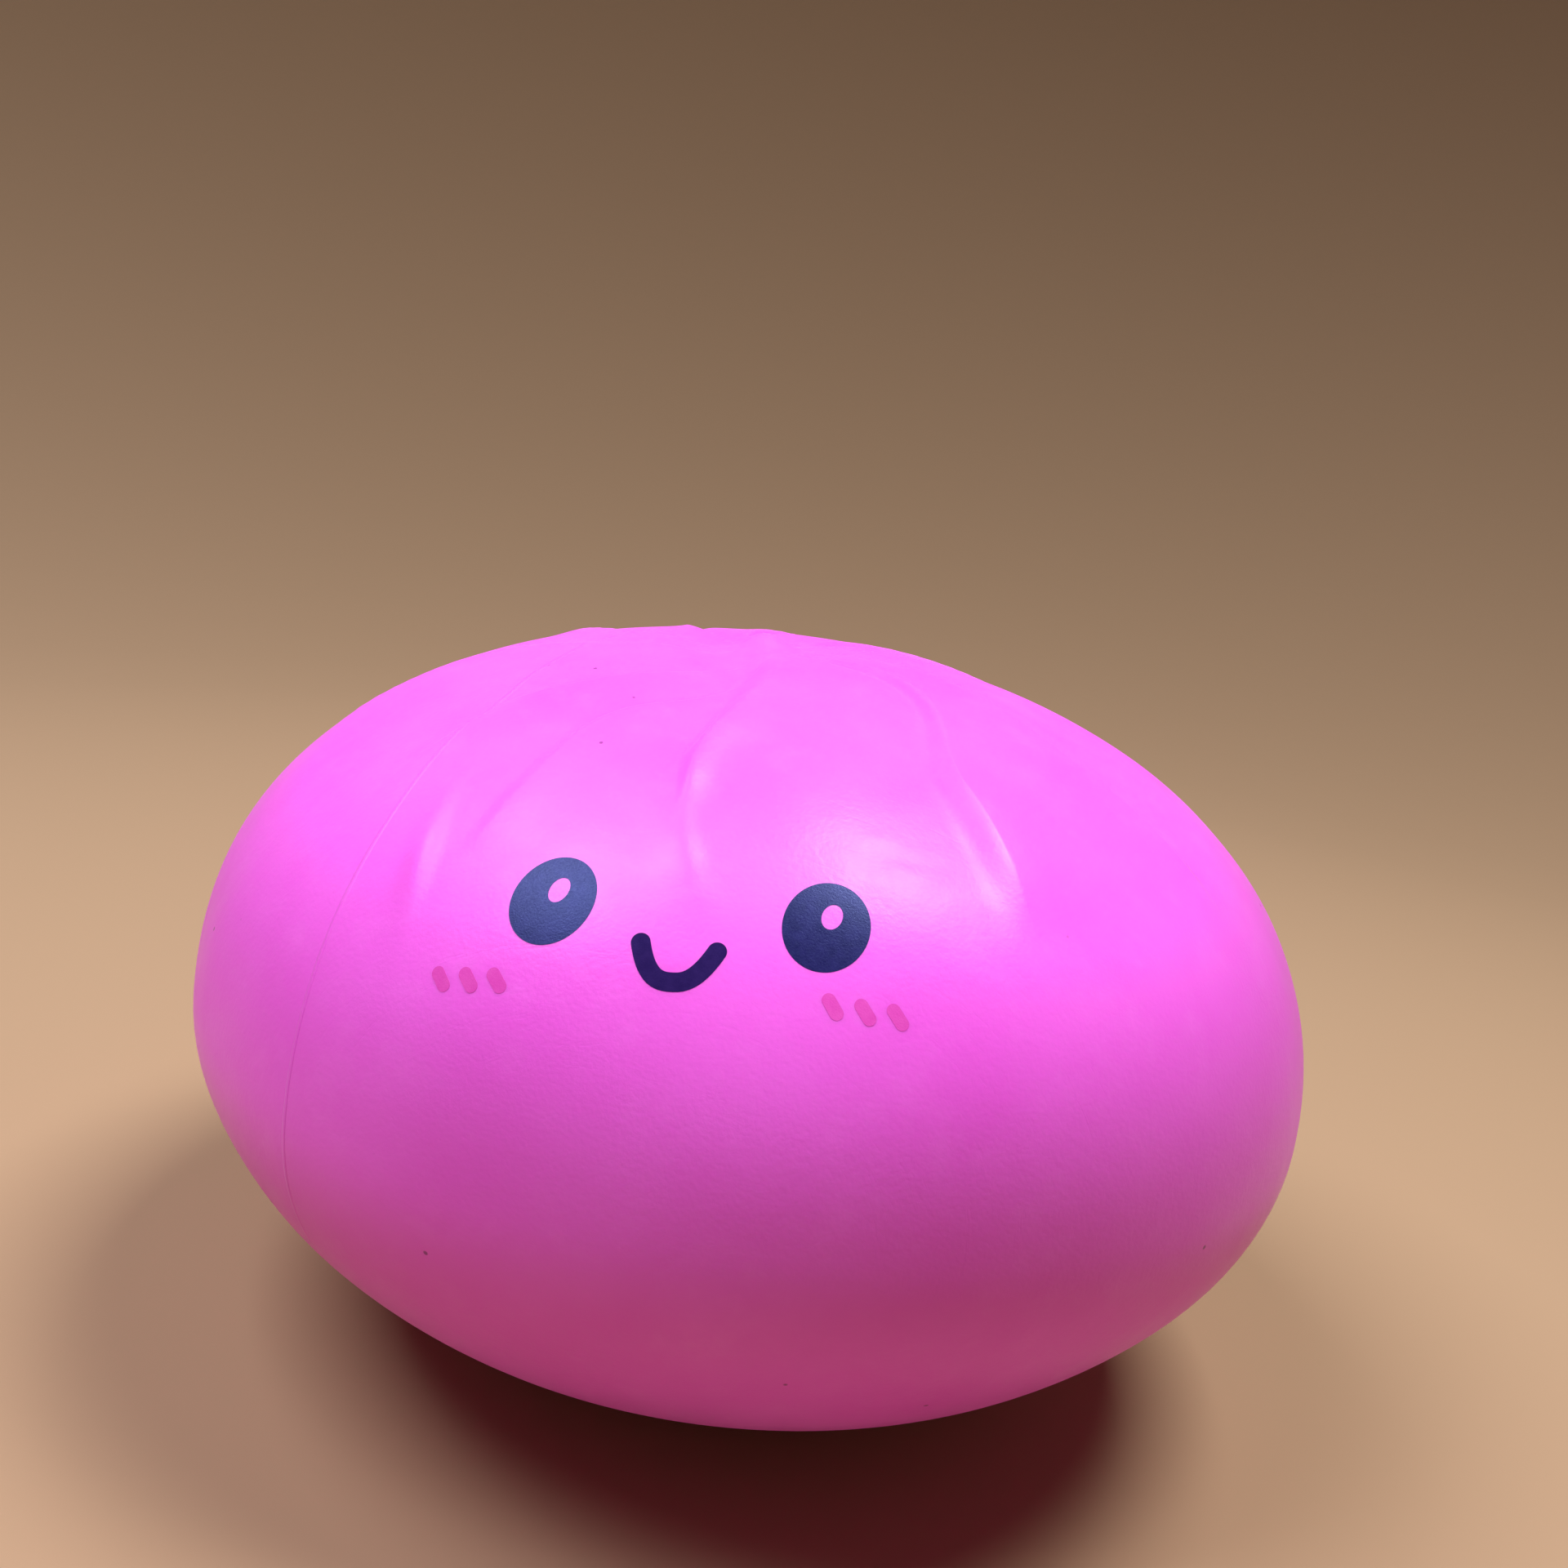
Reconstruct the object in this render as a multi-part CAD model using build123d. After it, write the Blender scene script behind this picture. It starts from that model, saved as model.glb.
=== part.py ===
from build123d import *

# Jumbo squeeze ball in the shape of a pleated steamed bun.
#
# A thin one-piece moulded skin is blown up through a port in its foot, and a push-in plug closes
# the port. Pleats run down the crown from a small twisted tip, and a face is printed on the front
# as thin films of ink. Millimetres, +Z up, origin at the centre of the flat foot, the face
# looks along -Y. An azimuth is in degrees from -Y, positive towards +X, and a face height is
# counted up from the equator, where the ball is widest.

import os
from math import cos, pi, radians, sin

# Overall size of the blown-up skin
BALL_DIAMETER = 250.0
CROWN_HEIGHT = 85.1         # equator up to the top of the crown
BASE_HEIGHT = 75.9          # foot up to the equator
FOOT_RADIUS = 32.0          # flat circle that the ball rests on
CROWN_POWER = 2.20          # 2 is an ellipse, and more than 2 is fuller
BASE_POWER = 1.91
WALL = 2.0
OUTLINE_STEPS = 8           # spans of each quarter's curve

# Pleats of the crown
PLEAT_COUNT = 10
PLEAT_DEPTH = 3.0
PLEAT_FLOOR_RADIUS = 5.0
PLEAT_CLEAR = 0.4           # how far a pleat's ends lift clear of the crown
PLEAT_TIP_GAP = 14.0        # upper end of a pleat, from the middle of the tip
PLEAT_FACE_GAP = 2.5        # lower end of a pleat, above the top of the eyes
PLEAT_PHASE = -7.0          # azimuth of the foot of the pleat over the mouth
PLEAT_SWIRL = 6.0           # how far a pleat's head is turned past its foot

# Twisted tip
TIP_LEFT = 8.0              # the tip stands off the middle, to the -X side
TIP_FORWARD = 6.0           # and to the -Y side
TIP_RISE = 2.2
TIP_CURVE = 12.0            # radius of its rounded cap

# Port in the foot, moulded with the skin, and its plug
HEAD_RADIUS = 8.0
HEAD_THICKNESS = 2.4
HEAD_INSET = 0.6            # outer face of the plug's head, above the foot's flat
HEAD_CLEARANCE = 0.5        # between the head's rim and its recess
SEAT_GAP = 0.05             # between the head and the ceiling of its recess
STEM_RADIUS = 4.0
STEM_CLEARANCE = 0.05       # between the stem and the port's bore
STEM_LENGTH = 15.0
STEM_TAPER = 1.2            # chamfer that leads the stem into the bore
PORT_WALL = 2.6             # wall of the port's tube and of its recess
PORT_LIP = 1.5              # how far the tube reaches past the stem
HEAD_EDGE = 0.6
PRY_SLOT_WIDTH = 1.6
PRY_SLOT_DEPTH = 0.9
PULL_MARGIN = 4.0           # travel left over when the plug is clear of the port

# Printed face
INK = 0.15                  # thickness of the ink film
INK_REACH = 8.0             # half length of the prism that cuts a film out
EYE_WIDTH = 14.8
EYE_HEIGHT = 17.2
EYE_TILTS = (-4.0, -19.0)
EYE_AZIMUTHS = (-12.7, 12.75)
EYE_LEVELS = (48.7, 51.9)
GLINT_WIDTH = 3.5           # bare spot in each eye where the skin shows
GLINT_HEIGHT = 4.9
GLINT_RIGHT = 0.2
GLINT_UP = 2.1
MOUTH_STROKE = 3.0
MOUTH_LEVEL = 43.9
MOUTH_HALF_WIDTH = 6.4
MOUTH_RISE = 3.3            # corners of the mouth, above its level
MOUTH_DROP = 3.15           # middle of the mouth, below its level
BLUSH_LENGTH = 5.0
BLUSH_STROKE = 2.05
BLUSH_TILTS = (-51.0, -69.0)
BLUSH_AZIMUTHS = (-17.0, 16.5)
BLUSH_LEVELS = (34.7, 40.7)
BLUSH_PITCH = 2.6           # degrees between the strokes of one cheek
BLUSH_STEPS = (1.15, -0.35)  # rise from stroke to stroke, on each cheek

# What follows from the sizes above
BALL_RADIUS = BALL_DIAMETER / 2
RECESS_RADIUS = HEAD_RADIUS + HEAD_CLEARANCE
RECESS_DEPTH = HEAD_INSET + HEAD_THICKNESS + SEAT_GAP
BORE_RADIUS = STEM_RADIUS + STEM_CLEARANCE
STEM_TOP = HEAD_INSET + HEAD_THICKNESS + STEM_LENGTH
PORT_TOP = STEM_TOP + PORT_LIP
PLUG_TRAVEL = PORT_TOP + PULL_MARGIN
PLEAT_FOOT_LEVEL = max(EYE_LEVELS) + EYE_HEIGHT / 2 + PLEAT_FACE_GAP


def quarter_width(fraction, power):
    """Width of a full superellipse quarter, as a share of its radius, at a share of its height."""
    return (1 - fraction**power) ** (1 / power)


def base_pole_depth():
    """Depth below the equator at which the base's curve would close if it had no flat foot."""
    return BASE_HEIGHT / quarter_width(FOOT_RADIUS / BALL_RADIUS, BASE_POWER)


def quarter_points(radius, height, power, side):
    """Points of one quarter's curve from its pole to the equator; side is 1 for up, -1 for down."""
    points = []
    for step in range(OUTLINE_STEPS + 1):
        angle = pi / 2 * step / OUTLINE_STEPS
        width = radius * sin(angle) ** (2 / power)
        rise = height * cos(angle) ** (2 / power)
        points.append((width, 0, BASE_HEIGHT + side * rise))
    points[0] = (0, 0, BASE_HEIGHT + side * height)
    points[-1] = (radius, 0, BASE_HEIGHT)
    return points


def bun_body(growth=0.0, floor=0.0):
    """Solid bun without pleats, grown outwards all round, and cut flat at the floor's height."""
    radius = BALL_RADIUS + growth
    crown_points = quarter_points(radius, CROWN_HEIGHT + growth, CROWN_POWER, 1)
    base_points = quarter_points(radius, base_pole_depth() + growth, BASE_POWER, -1)
    crown = Spline(*crown_points, tangents=[(1, 0, 0), (0, 0, -1)])
    base = Spline(*reversed(base_points), tangents=[(0, 0, -1), (-1, 0, 0)])
    axis_line = Line(base_points[0], crown_points[0])
    body = revolve(make_face([crown, base, axis_line]), axis=Axis.Z)
    down = (Align.CENTER, Align.CENTER, Align.MAX)
    under = Pos(0, 0, floor) * Box(3 * radius, 3 * radius, 3 * radius, align=down)
    return body - under


def crown_frame(azimuth, level):
    """Plane on the crown's surface: x runs to the right around the ball, y up it, z outwards."""
    width = BALL_RADIUS * quarter_width(level / CROWN_HEIGHT, CROWN_POWER)
    turn = radians(azimuth)
    slope_out = (width / BALL_RADIUS) ** (CROWN_POWER - 1) / BALL_RADIUS
    slope_up = (level / CROWN_HEIGHT) ** (CROWN_POWER - 1) / CROWN_HEIGHT
    return Plane(
        origin=(width * sin(turn), -width * cos(turn), BASE_HEIGHT + level),
        x_dir=(cos(turn), sin(turn), 0),
        z_dir=(slope_out * sin(turn), -slope_out * cos(turn), slope_up),
    )


def crown_point(spot, offset):
    """Point over the crown at a place in plan, offset outwards along the crown's normal."""
    width = spot.length
    level = CROWN_HEIGHT * quarter_width(width / BALL_RADIUS, CROWN_POWER)
    normal = Vector(0, 0, (level / CROWN_HEIGHT) ** (CROWN_POWER - 1) / CROWN_HEIGHT)
    if width > 0:
        normal += spot.normalized() * (width / BALL_RADIUS) ** (CROWN_POWER - 1) / BALL_RADIUS
    return Vector(spot.X, spot.Y, BASE_HEIGHT + level) + normal.normalized() * offset


def pleat_tool(azimuth, radius):
    """Bent round bar that follows one pleat, sunk in the crown midway and clear of it at both ends."""
    tip = Vector(-TIP_LEFT, -TIP_FORWARD, 0)
    head_turn = radians(azimuth + PLEAT_SWIRL)
    foot_turn = radians(azimuth)
    foot_width = BALL_RADIUS * quarter_width(PLEAT_FOOT_LEVEL / CROWN_HEIGHT, CROWN_POWER)
    head = tip + Vector(sin(head_turn), -cos(head_turn), 0) * PLEAT_TIP_GAP
    foot = Vector(sin(foot_turn), -cos(foot_turn), 0) * foot_width
    clear = PLEAT_FLOOR_RADIUS + PLEAT_CLEAR
    sunk = PLEAT_FLOOR_RADIUS - PLEAT_DEPTH
    route = ThreePointArc(
        crown_point(head, clear),
        crown_point((head + foot) * 0.5, sunk),
        crown_point(foot, clear),
    )
    section = Plane(origin=route @ 0, z_dir=route % 0) * Circle(radius)
    return sweep(section, path=route)


def pleat_tools(radius):
    """All the pleats' bars, with one radius."""
    azimuths = [PLEAT_PHASE + 360 / PLEAT_COUNT * number for number in range(PLEAT_COUNT)]
    return [pleat_tool(azimuth, radius) for azimuth in azimuths]


def skin():
    """One-piece moulded skin: pleated shell, tip, flat foot, and the port's tube inside."""
    cap_top = BASE_HEIGHT + CROWN_HEIGHT + TIP_RISE
    cap = Pos(-TIP_LEFT, -TIP_FORWARD, cap_top - TIP_CURVE) * Sphere(TIP_CURVE)
    outside = bun_body() + cap
    for tool in pleat_tools(PLEAT_FLOOR_RADIUS):
        outside -= tool
    inside = bun_body(-WALL, WALL)
    for tool in pleat_tools(PLEAT_FLOOR_RADIUS + WALL):
        inside -= tool
    shell = outside - inside
    up = (Align.CENTER, Align.CENTER, Align.MIN)
    shell += Cylinder(RECESS_RADIUS + PORT_WALL, RECESS_DEPTH + PORT_WALL, align=up)
    shell += Cylinder(BORE_RADIUS + PORT_WALL, PORT_TOP, align=up)
    shell -= Cylinder(RECESS_RADIUS, RECESS_DEPTH, align=up)
    return shell - Cylinder(BORE_RADIUS, PORT_TOP, align=up)


def valve_plug():
    """Push-in plug: flat head with a pry slot, and a stem with a tapered end."""
    up = (Align.CENTER, Align.CENTER, Align.MIN)
    head = Pos(0, 0, HEAD_INSET) * Cylinder(HEAD_RADIUS, HEAD_THICKNESS, align=up)
    head = chamfer(head.edges().sort_by(Axis.Z)[0], HEAD_EDGE)
    stem = Pos(0, 0, HEAD_INSET + HEAD_THICKNESS) * Cylinder(STEM_RADIUS, STEM_LENGTH, align=up)
    stem = chamfer(stem.edges().sort_by(Axis.Z)[-1], STEM_TAPER)
    slot = Pos(0, 0, HEAD_INSET) * Box(2 * HEAD_RADIUS, PRY_SLOT_WIDTH, PRY_SLOT_DEPTH, align=up)
    slot = slot & Pos(0, 0, HEAD_INSET) * Cylinder(HEAD_RADIUS - PORT_WALL, PRY_SLOT_DEPTH, align=up)
    return head + stem - slot


def ink_film(outline, azimuth, level, grown, bare):
    """Film of ink on the skin: a flat outline carried through the ball's surface at one place."""
    prism = extrude(crown_frame(azimuth, level) * outline, amount=INK_REACH, both=True)
    return (prism & grown) - bare


def eye(azimuth, level, tilt, grown, bare):
    """Leaning oval eye with a small bare oval in it."""
    oval = Ellipse(EYE_WIDTH / 2, EYE_HEIGHT / 2, rotation=tilt)
    glint = Ellipse(GLINT_WIDTH / 2, GLINT_HEIGHT / 2, rotation=tilt)
    return ink_film(oval - Pos(GLINT_RIGHT, GLINT_UP) * glint, azimuth, level, grown, bare)


def mouth(grown, bare):
    """Open U of one round-ended stroke."""
    left = (-MOUTH_HALF_WIDTH, MOUTH_RISE)
    right = (MOUTH_HALF_WIDTH, MOUTH_RISE)
    smile = SlotArc(ThreePointArc(left, (0, -MOUTH_DROP), right), MOUTH_STROKE)
    return ink_film(smile, 0, MOUTH_LEVEL, grown, bare)


def blush_strokes(azimuth, level, tilt, step, grown, bare):
    """Three short slanted strokes on one cheek, from left to right."""
    stroke = SlotOverall(BLUSH_LENGTH, BLUSH_STROKE, rotation=tilt)
    return [
        ink_film(stroke, azimuth + BLUSH_PITCH * place, level + step * place, grown, bare)
        for place in (-1, 0, 1)
    ]


def build_nodes():
    """Every separate piece of the ball, by the name of its node."""
    bare = bun_body()
    grown = bun_body(INK)
    nodes = {"skin": skin(), "valve_plug": valve_plug(), "mouth": mouth(grown, bare)}
    for side, place in (("left", 0), ("right", 1)):
        nodes[f"{side}_eye"] = eye(EYE_AZIMUTHS[place], EYE_LEVELS[place], EYE_TILTS[place], grown, bare)
        strokes = blush_strokes(
            BLUSH_AZIMUTHS[place],
            BLUSH_LEVELS[place],
            BLUSH_TILTS[place],
            BLUSH_STEPS[place],
            grown,
            bare,
        )
        for number, stroke in enumerate(strokes, start=1):
            nodes[f"{side}_blush_{number}"] = stroke
    return nodes


os.makedirs("parts", exist_ok=True)
for name, solid in build_nodes().items():
    export_step(solid, f"parts/{name}.step")
print(f"plug travel {PLUG_TRAVEL:.2f} mm")
print(f"height {BASE_HEIGHT + CROWN_HEIGHT:.1f} mm")
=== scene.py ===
"""Jumbo bun-shaped squeeze ball: pleated vinyl skin, printed face and valve plug.

Everything is in metres in the part's own frame: +Z up, origin at the centre of the flat foot,
and the printed face looks along -Y. An azimuth is in degrees from -Y, positive towards +X, and a
level is a height above the equator, where the ball is widest.
"""
import logging
import math
from dataclasses import dataclass, field
from enum import Enum

import bmesh
import bpy
import numpy as np
from mathutils import Matrix, Vector


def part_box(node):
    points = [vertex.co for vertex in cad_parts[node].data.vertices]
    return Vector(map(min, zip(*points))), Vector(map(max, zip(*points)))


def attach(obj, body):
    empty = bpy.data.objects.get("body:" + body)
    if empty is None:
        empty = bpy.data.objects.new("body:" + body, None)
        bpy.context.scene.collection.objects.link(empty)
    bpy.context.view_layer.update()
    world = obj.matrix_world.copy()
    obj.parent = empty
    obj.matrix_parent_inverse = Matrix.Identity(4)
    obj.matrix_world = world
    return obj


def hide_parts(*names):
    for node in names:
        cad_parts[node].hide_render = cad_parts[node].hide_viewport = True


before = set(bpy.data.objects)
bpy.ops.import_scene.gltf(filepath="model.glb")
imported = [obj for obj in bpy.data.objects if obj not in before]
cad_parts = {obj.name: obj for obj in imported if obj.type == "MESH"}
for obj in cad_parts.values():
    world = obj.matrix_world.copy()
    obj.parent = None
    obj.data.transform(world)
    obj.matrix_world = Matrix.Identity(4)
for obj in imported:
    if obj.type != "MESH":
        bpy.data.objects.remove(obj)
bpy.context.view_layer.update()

LOG = logging.getLogger("squeeze_ball")
MM = 0.001
MERGE_DISTANCE = 0.001 * MM


# ---------------------------------------------------------------- small helpers


def linear(code: str) -> tuple[float, float, float, float]:
    """Turn an sRGB hex colour into linear light.

    Args:
        code: Six hex digits, such as "F070E8".

    Returns:
        Red, green and blue in linear light, and an alpha of 1.
    """
    shares = [int(code[place : place + 2], 16) / 255 for place in (0, 2, 4)]
    light = [s / 12.92 if s <= 0.04045 else ((s + 0.055) / 1.055) ** 2.4 for s in shares]
    return (*light, 1.0)


def smooth_step(low: float, high: float, value: np.ndarray) -> np.ndarray:
    """Rise smoothly from 0 at low to 1 at high."""
    share = np.clip((value - low) / (high - low), 0.0, 1.0)
    return share * share * (3.0 - 2.0 * share)


def add_node(tree: bpy.types.NodeTree, kind: str, values: dict | None = None,
             links: dict | None = None, **settings: object) -> bpy.types.Node:
    """Add one shader node with its settings, socket values and incoming links.

    Args:
        tree: The node tree that it goes into.
        kind: The node's type name.
        values: Input socket name or number to the value set on it.
        links: Input socket name or number to the output socket that feeds it.
        **settings: The node's own properties.

    Returns:
        The new node.
    """
    made = tree.nodes.new(kind)
    for name, value in settings.items():
        setattr(made, name, value)
    for socket, value in (values or {}).items():
        made.inputs[socket].default_value = value
    for socket, output in (links or {}).items():
        tree.links.new(output, made.inputs[socket])
    return made


def new_tree(name: str) -> tuple[bpy.types.Material, bpy.types.NodeTree]:
    """Make an empty node material.

    Args:
        name: The material's name.

    Returns:
        The material and its cleared node tree.
    """
    material = bpy.data.materials.new(name)
    material.use_nodes = True
    material.node_tree.nodes.clear()
    return material, material.node_tree


def finish_tree(tree: bpy.types.NodeTree, shader: bpy.types.Node) -> None:
    """Send a shader to the material's surface."""
    add_node(tree, "ShaderNodeOutputMaterial", links={"Surface": shader.outputs[0]})


def mesh_object(name: str, bm: bmesh.types.BMesh, material: bpy.types.Material) -> bpy.types.Object:
    """Turn a bmesh into a smooth-shaded object at the origin.

    Args:
        name: Name of the piece.
        bm: The finished bmesh, which is freed.
        material: Its finish.

    Returns:
        The linked object.
    """
    mesh = bpy.data.meshes.new(name)
    bm.to_mesh(mesh)
    bm.free()
    mesh.materials.append(material)
    mesh.polygons.foreach_set("use_smooth", [True] * len(mesh.polygons))
    made = bpy.data.objects.new(name, mesh)
    bpy.context.scene.collection.objects.link(made)
    return made


def coordinates(bm: bmesh.types.BMesh) -> np.ndarray:
    """Read every vertex's place as an array of rows."""
    return np.array([vertex.co[:] for vertex in bm.verts])


def move_to(bm: bmesh.types.BMesh, places: np.ndarray) -> None:
    """Move every vertex to its row of an array."""
    for vertex, place in zip(bm.verts, places):
        vertex.co = place


def revolved(outline: list[tuple[float, float]], steps: int,
             start: tuple[float, float] = (1.0, 0.0)) -> bmesh.types.BMesh:
    """Turn a half section round the Z axis into a mesh with outward faces.

    Args:
        outline: Pairs of distance from the axis and height.
        steps: Number of columns.
        start: Horizontal direction in which the half section lies.

    Returns:
        The merged mesh.
    """
    bm = bmesh.new()
    chain = [bm.verts.new((width * start[0], width * start[1], height)) for width, height in outline]
    edges = [bm.edges.new(pair) for pair in zip(chain, chain[1:])]
    bmesh.ops.spin(
        bm,
        geom=chain + edges,
        cent=(0, 0, 0),
        axis=(0, 0, 1),
        angle=2 * math.pi,
        steps=steps,
        use_merge=True,
    )
    bmesh.ops.remove_doubles(bm, verts=bm.verts, dist=MERGE_DISTANCE)
    bmesh.ops.recalc_face_normals(bm, faces=bm.faces)
    return bm


# ---------------------------------------------------------------- the ball's form


class Side(Enum):
    """Left or right, as one looks at the outside of the ball."""

    LEFT = "left"
    RIGHT = "right"


@dataclass(frozen=True)
class Pleat:
    """One tuck: the skin dips, climbs a wall to a crest, and slopes gently away beyond it.

    Azimuth is the crest's. The wall is narrow near the tip and broad at the pleat's foot. Fall is
    how many wall widths the far slope takes, twist is the pleat's share of the common swirl about
    the tip, hook is how far it bends aside at its foot in degrees, soft rounds its crest (0 to 1),
    and side is the way that its wall faces. The spans are distances from the tip.
    """

    azimuth: float
    depth: float
    crest: float
    narrow: float
    broad: float
    fall: float = 2.0
    wall_end: float = 102 * MM
    crest_end: float = 107 * MM
    twist: float = 1.0
    hook: float = 0.0
    soft: float = 0.0
    side: Side = Side.LEFT
    broad_span: tuple[float, float] = (30 * MM, 92 * MM)
    dip_span: tuple[float, float] = (5 * MM, 22 * MM)
    rise_span: tuple[float, float] = (12 * MM, 55 * MM)
    wall_fade: float = 20 * MM
    crest_fade: float = 14 * MM
    dip_spread: float = 2.0
    sharp_power: float = 1.5

    def height(self, across: np.ndarray, reach: np.ndarray) -> np.ndarray:
        """Height of the tuck over the smooth crown.

        Args:
            across: Distance to the right of the crest, seen from outside.
            reach: Distance from the tip.

        Returns:
            How far the surface stands out.
        """
        wall = self.narrow + (self.broad - self.narrow) * smooth_step(*self.broad_span, reach)
        dip_left = 1.0 - smooth_step(self.wall_end - self.wall_fade, self.wall_end, reach)
        dip = self.depth * smooth_step(*self.dip_span, reach) * dip_left
        rise_left = 1.0 - smooth_step(self.crest_end - self.crest_fade, self.crest_end, reach)
        rise = self.crest * smooth_step(*self.rise_span, reach) * rise_left
        sign = 1 if self.side is Side.LEFT else -1
        place = sign * across / wall
        before = -dip * np.exp(-(((place + 1.0) / self.dip_spread) ** 2))
        share = np.clip(place + 1.0, 0.0, 1.0)
        sharp = share**self.sharp_power
        shape = (1.0 - self.soft) * sharp + self.soft * smooth_step(0.0, 1.0, share)
        climb = (dip + rise) * shape - dip
        over = np.maximum(place, 0.0) / self.fall
        slope = (1.0 - self.soft) * np.exp(-over) + self.soft * np.exp(-(over**2))
        beyond = rise * slope
        return np.where(place < -1.0, before, np.where(place < 0.0, climb, beyond))


@dataclass(frozen=True)
class Crinkle:
    """A short soft ridge in the skin, or a dent where its height is below zero.

    Turn is its lean in degrees, and spread is how many times wider its left side is than its
    right one.
    """

    azimuth: float
    reach: float
    turn: float
    length: float
    width: float
    height: float
    spread: float = 1.0


@dataclass
class BunForm:
    """The blown-up skin's surface: two superellipse quarters, pleats, and an off-centre tip."""

    radius: float
    base_height: float
    crown_height: float
    foot_radius: float = 32 * MM
    crown_power: float = 2.20
    base_power: float = 1.91
    tip_left: float = 8 * MM
    tip_forward: float = 6 * MM
    tip_reach: float = 90 * MM
    slow_swirl: float = 24.0
    slow_span: tuple[float, float] = (14 * MM, 76 * MM)
    fast_swirl: float = 75.0
    fast_reach: float = 6 * MM
    hook_start: float = 70 * MM
    hook_length: float = 31 * MM
    hook_limit: float = 1.3
    hook_power: float = 1.8
    dimple_depth: float = 2.4 * MM
    dimple_reach: float = 17 * MM
    knob_height: float = 4.2 * MM
    knob_reach: float = 6.0 * MM
    broad_dent: float = 0.45 * MM
    fine_dent: float = 0.16 * MM
    wall: float = 2 * MM
    pleats: list[Pleat] = field(default_factory=list)
    crinkles: list[Crinkle] = field(default_factory=list)

    @property
    def base_pole(self) -> float:
        """Depth below the equator at which the base would close if it had no flat foot."""
        share = (self.foot_radius / self.radius) ** self.base_power
        return self.base_height / (1 - share) ** (1 / self.base_power)

    def crown_level(self, width: np.ndarray, shrink: np.ndarray | float = 0.0) -> np.ndarray:
        """Height above the equator of the smooth crown.

        Args:
            width: Distance from the axis.
            shrink: How far inside the outer surface the wanted surface lies.

        Returns:
            The level at each width.
        """
        share = np.clip(width / (self.radius - shrink), 0.0, 1.0) ** self.crown_power
        return (self.crown_height - shrink) * (1.0 - share) ** (1.0 / self.crown_power)

    def normals(self, width: np.ndarray, level: np.ndarray) -> tuple[np.ndarray, np.ndarray]:
        """Outward normal of the smooth surface.

        Args:
            width: Distance from the axis.
            level: Height above the equator.

        Returns:
            Its share away from the axis, and its share upwards.
        """
        high = level >= 0
        power = np.where(high, self.crown_power, self.base_power)
        pole = np.where(high, self.crown_height, self.base_pole)
        out = (width / self.radius) ** (power - 1) / self.radius
        up = np.sign(level) * (np.abs(level) / pole) ** (power - 1) / pole
        length = np.hypot(out, up)
        return out / length, up / length

    def tip_shift(self, reach: np.ndarray) -> tuple[np.ndarray, np.ndarray]:
        """How far the rings around the tip stand off the axis, at their distance from the tip."""
        hold = (1.0 - np.clip(reach / self.tip_reach, 0.0, 1.0) ** 2) ** 2
        return -self.tip_left * hold, -self.tip_forward * hold

    def swirl(self, reach: np.ndarray) -> np.ndarray:
        """Turn of the pleats about the tip, which grows quickly close to it.

        Args:
            reach: Distance from the tip.

        Returns:
            The turn in radians.
        """
        slow = self.slow_swirl * (1.0 - smooth_step(*self.slow_span, reach))
        fast = self.fast_swirl * np.exp(-reach / self.fast_reach)
        return np.radians(slow + fast)

    def relief(self, turn: np.ndarray, reach: np.ndarray) -> np.ndarray:
        """Height of the pleats, the tip and the soft dents above the smooth crown.

        Args:
            turn: Azimuth about the tip, in radians.
            reach: Distance from the tip in plan, out to where rings are centred on the axis.

        Returns:
            How far the surface stands out along its normal.
        """
        height = np.zeros_like(turn)
        twist = self.swirl(reach)
        for pleat in self.pleats:
            bent = np.clip((reach - self.hook_start) / self.hook_length, 0.0, self.hook_limit)
            hook = math.radians(pleat.hook) * bent**self.hook_power
            away = turn - math.radians(pleat.azimuth) - twist * pleat.twist - hook
            away = (away + math.pi) % (2 * math.pi) - math.pi
            height += pleat.height(away * reach, reach)
        for mark in self.crinkles:
            round_way = (turn - math.radians(mark.azimuth)) * mark.reach
            down = reach - mark.reach
            lean = math.radians(mark.turn)
            along = down * math.cos(lean) + round_way * math.sin(lean)
            aside = round_way * math.cos(lean) - down * math.sin(lean)
            width = np.where(aside < 0, mark.width * mark.spread, mark.width)
            height += mark.height * np.exp(-((along / mark.length) ** 2) - (aside / width) ** 2)
        height -= self.dimple_depth * np.exp(-((reach / self.dimple_reach) ** 2))
        height += self.knob_height * np.exp(-((reach / self.knob_reach) ** 2))
        return height

    def dents(self, points: np.ndarray) -> np.ndarray:
        """Shallow unevenness of a soft moulded skin.

        The wave numbers are in radians a metre: the broad waves are about 200 mm long and the fine
        ones about 80 mm.

        Args:
            points: Rows of X, Y and Z on the smooth skin.

        Returns:
            How far the surface stands out at each place.
        """
        x, y, z = points.T
        broad = np.sin(31 * x + 17 * z + 0.6) * np.sin(27 * y - 13 * x + 1.9)
        finer = np.sin(74 * x - 38 * y + 2.2) * np.sin(66 * z + 41 * y + 0.4)
        return self.broad_dent * broad + self.fine_dent * finer

    def settle(self, width: np.ndarray, level: np.ndarray) -> tuple[np.ndarray, np.ndarray]:
        """Bring places near the outer surface onto it, straight towards the middle.

        Args:
            width: Distance of each place from the axis.
            level: Its height above the equator.

        Returns:
            The distances and heights on the smooth surface.
        """
        power = np.where(level >= 0, self.crown_power, self.base_power)
        pole = np.where(level >= 0, self.crown_height, self.base_pole)
        size = ((width / self.radius) ** power + (np.abs(level) / pole) ** power) ** (1 / power)
        return width / size, level / size

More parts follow.
